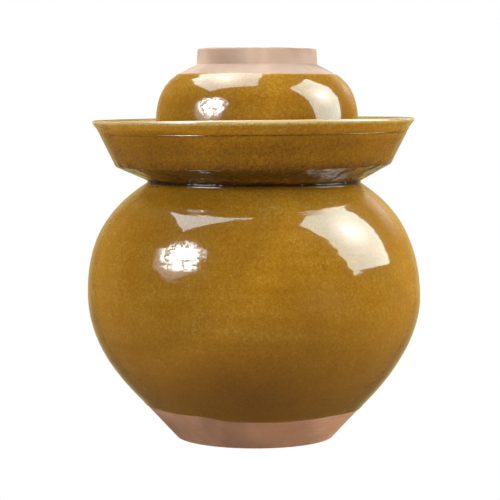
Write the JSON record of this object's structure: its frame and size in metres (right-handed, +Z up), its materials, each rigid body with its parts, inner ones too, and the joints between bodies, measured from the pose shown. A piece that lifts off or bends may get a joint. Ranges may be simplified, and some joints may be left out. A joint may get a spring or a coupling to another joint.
{
  "type": "ceramic crock fermenter",
  "caption": "Round-bellied amber-glazed jar with a flared water trough round its neck, an upturned-bowl outer lid, a knobbed inner lid and half-moon weights.",
  "frame": {"origin": "centre of the standing face under the jar", "axes": "+Z up along the jar's axis; X is the line through the finger holes of the weights, Y runs along the split between them"},
  "size_m": [0.249, 0.249, 0.2916],
  "materials": {
    "amber_glaze": "gloss",
    "bare_clay": "matte"
  },
  "bodies": {
    "jar": {"jar_body": "amber_glaze", "water_moat": "amber_glaze"},
    "outer_lid": {"outer_lid": "amber_glaze"},
    "inner_lid": {"inner_lid": "amber_glaze"},
    "weight_left": {"weight_left": "bare_clay"},
    "weight_right": {"weight_right": "bare_clay"}
  },
  "joints": [
    {"name": "outer_lid_lift", "type": "slide", "parent": "jar", "child": "outer_lid", "axis": [0, 0, 1], "range_m": [0, 0.24]},
    {"name": "inner_lid_lift", "type": "slide", "parent": "jar", "child": "inner_lid", "axis": [0, 0, 1], "range_m": [0, 0.11]},
    {"name": "weight_left_lift", "type": "slide", "parent": "jar", "child": "weight_left", "axis": [0, 0, 1], "range_m": [0, 0.12]},
    {"name": "weight_right_lift", "type": "slide", "parent": "jar", "child": "weight_right", "axis": [0, 0, 1], "range_m": [0, 0.12]}
  ],
  "couplings": [
    {"joint": "inner_lid_lift", "follows": "outer_lid_lift", "ratio": 0.45}
  ]
}
